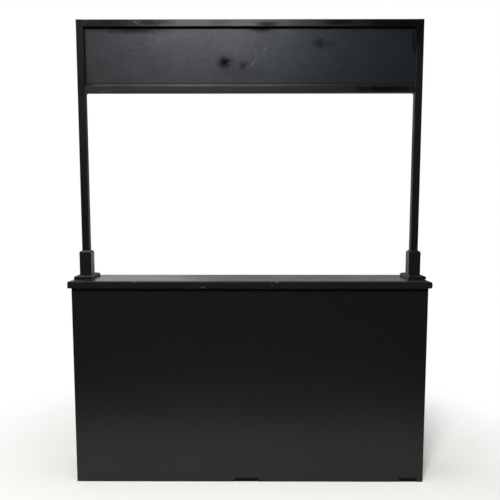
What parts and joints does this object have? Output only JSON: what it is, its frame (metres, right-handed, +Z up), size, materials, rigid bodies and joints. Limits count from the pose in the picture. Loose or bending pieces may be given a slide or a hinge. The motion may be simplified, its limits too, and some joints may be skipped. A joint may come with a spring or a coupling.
{
  "type": "market stall",
  "caption": "Black painted timber market stall: plain counter with overhanging top, two posts in bevelled sleeves and a panelled header.",
  "frame": {"origin": "on the floor, under the middle of the counter", "axes": "+X to the right as seen from the front, +Y from the front to the back, +Z up"},
  "size_m": [1.8, 0.3, 2.337],
  "materials": {
    "painted_sheet": "satin black paint",
    "painted_top": "gloss black paint",
    "painted_timber": "satin black paint",
    "frame_timber": "thin black paint",
    "foot_pad": "matte black rubber"
  },
  "bodies": {
    "root": {"front_panel": "painted_sheet", "left_side_panel": "painted_sheet", "right_side_panel": "painted_sheet", "counter_top": "painted_top", "centre_foot_pad": "foot_pad", "end_foot_pad": "foot_pad", "front_left_batten": "frame_timber", "front_right_batten": "frame_timber", "rear_left_batten": "frame_timber", "rear_right_batten": "frame_timber", "front_top_rail": "frame_timber", "front_bottom_rail": "frame_timber", "rear_top_rail": "frame_timber", "rear_bottom_rail": "frame_timber", "left_top_rail": "frame_timber", "left_bottom_rail": "frame_timber", "right_top_rail": "frame_timber", "right_bottom_rail": "frame_timber", "centre_stud": "frame_timber", "left_post_flange": "painted_timber", "right_post_flange": "painted_timber", "left_sleeve_front": "painted_timber", "left_sleeve_back": "painted_timber", "left_sleeve_inner": "painted_timber", "left_sleeve_outer": "painted_timber", "right_sleeve_front": "painted_timber", "right_sleeve_back": "painted_timber", "right_sleeve_inner": "painted_timber", "right_sleeve_outer": "painted_timber", "left_post": "painted_timber", "right_post": "painted_timber", "header_top_rail": "painted_timber", "header_bottom_rail": "painted_timber", "header_panel": "painted_sheet"}
  },
  "joints": []
}
